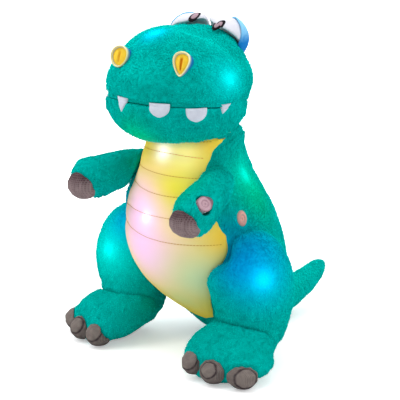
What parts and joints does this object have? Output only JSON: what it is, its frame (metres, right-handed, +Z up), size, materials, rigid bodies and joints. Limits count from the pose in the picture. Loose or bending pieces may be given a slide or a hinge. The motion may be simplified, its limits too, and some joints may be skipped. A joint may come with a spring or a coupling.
{
  "type": "plush night light",
  "caption": "Sitting stuffed dinosaur with soft jointed arms and tail, small lamps inside, a push button in one arm and a zipped battery pocket in the back.",
  "frame": {"origin": "middle of the flat seat on which the toy sits, under the torso", "axes": "+Z up, the face looks along -Y, the toy's own left is +X"},
  "size_m": [0.3046, 0.3525, 0.3817],
  "materials": {
    "teal_plush": "short-pile teal plush",
    "yellow_plush": "short-pile yellow plush",
    "claw_velboa": "short grey-brown pile",
    "white_felt": "smooth white cloth",
    "lid_cloth": "sky-blue cloth",
    "cup_cloth": "light blue-green cloth",
    "pupil_print": "black embroidered thread",
    "spot_cloth": "pink cloth",
    "zipper_tape": "woven tape with nylon teeth",
    "case_plastic": "moulded",
    "board": "glass-fibre circuit board",
    "nickel": "nickel-plated",
    "cell_wrap": "printed wrap, plain",
    "lead_sleeve": "soft insulation, clear lamp heads"
  },
  "bodies": {
    "toy": {"battery_case": "case_plastic", "battery_lid": "case_plastic", "belly_panel": "yellow_plush", "button_lead_body": "lead_sleeve", "cell_1": "cell_wrap", "cell_2": "cell_wrap", "cell_3": "cell_wrap", "claw_left_inner": "claw_velboa", "claw_left_middle": "claw_velboa", "claw_left_outer": "claw_velboa", "claw_right_inner": "claw_velboa", "claw_right_middle": "claw_velboa", "claw_right_outer": "claw_velboa", "contact_left": "nickel", "contact_right": "nickel", "control_board": "board", "eye_left": "white_felt", "eye_right": "white_felt", "eyelid_left": "lid_cloth", "eyelid_right": "lid_cloth", "flank_spot": "spot_cloth", "foot_left": "teal_plush", "foot_right": "teal_plush", "head": "teal_plush", "lamp_string_belly": "lead_sleeve", "lamp_string_cheek": "lead_sleeve", "lamp_string_head": "lead_sleeve", "lamp_string_left_leg": "lead_sleeve", "lamp_string_right_leg": "lead_sleeve", "lid_screw": "nickel", "lower_jaw": "teal_plush", "nostril_cup_left": "cup_cloth", "nostril_cup_right": "cup_cloth", "nostril_lining_left": "yellow_plush", "nostril_lining_right": "yellow_plush", "pupil_left": "pupil_print", "pupil_right": "pupil_print", "thigh_left": "teal_plush", "thigh_right": "teal_plush", "tooth_left_1": "white_felt", "tooth_left_2": "white_felt", "tooth_left_3": "white_felt", "tooth_right_1": "white_felt", "tooth_right_2": "white_felt", "tooth_right_3": "white_felt", "torso": "teal_plush", "zipper_half_left": "zipper_tape", "zipper_half_right": "zipper_tape"},
    "arm_left": {"arm_left": "teal_plush", "paw_left": "claw_velboa", "button_housing": "case_plastic", "button_lead_arm": "lead_sleeve"},
    "arm_right": {"arm_right": "teal_plush", "paw_right": "claw_velboa"},
    "button": {"button_cap": "case_plastic", "arm_spot": "spot_cloth"},
    "tail": {"tail": "teal_plush"},
    "zipper_slider": {"zipper_slider": "nickel"},
    "zipper_tab": {"pull_tab": "nickel"}
  },
  "joints": [
    {"name": "left_shoulder", "type": "hinge", "parent": "toy", "child": "arm_left", "pos_m": [0.05961, -0.09302, 0.21301], "axis": [1, 0, 0], "range_deg": [-15, 15], "stiffness_Nm_per_rad": 1.6},
    {"name": "right_shoulder", "type": "hinge", "parent": "toy", "child": "arm_right", "pos_m": [-0.05961, -0.09302, 0.21301], "axis": [1, 0, 0], "range_deg": [-15, 15], "stiffness_Nm_per_rad": 1.6},
    {"name": "press_button", "type": "slide", "parent": "arm_left", "child": "button", "axis": [-0.8475, 0.1161, -0.5179], "range_m": [0, 0.0015], "stiffness_N_per_m": 900},
    {"name": "tail_root", "type": "hinge", "parent": "toy", "child": "tail", "pos_m": [0, 0.036, 0.03], "axis": [0, 0, 1], "range_deg": [-12, 12], "stiffness_Nm_per_rad": 0.8},
    {"name": "zipper", "type": "slide", "parent": "toy", "child": "zipper_slider", "axis": [0, 0.165, -0.9863], "range_m": [0, 0.05]},
    {"name": "zipper_tab_swing", "type": "hinge", "parent": "zipper_slider", "child": "zipper_tab", "pos_m": [0, 0.04007, 0.13046], "axis": [1, 0, 0], "range_deg": [0, 160]}
  ]
}
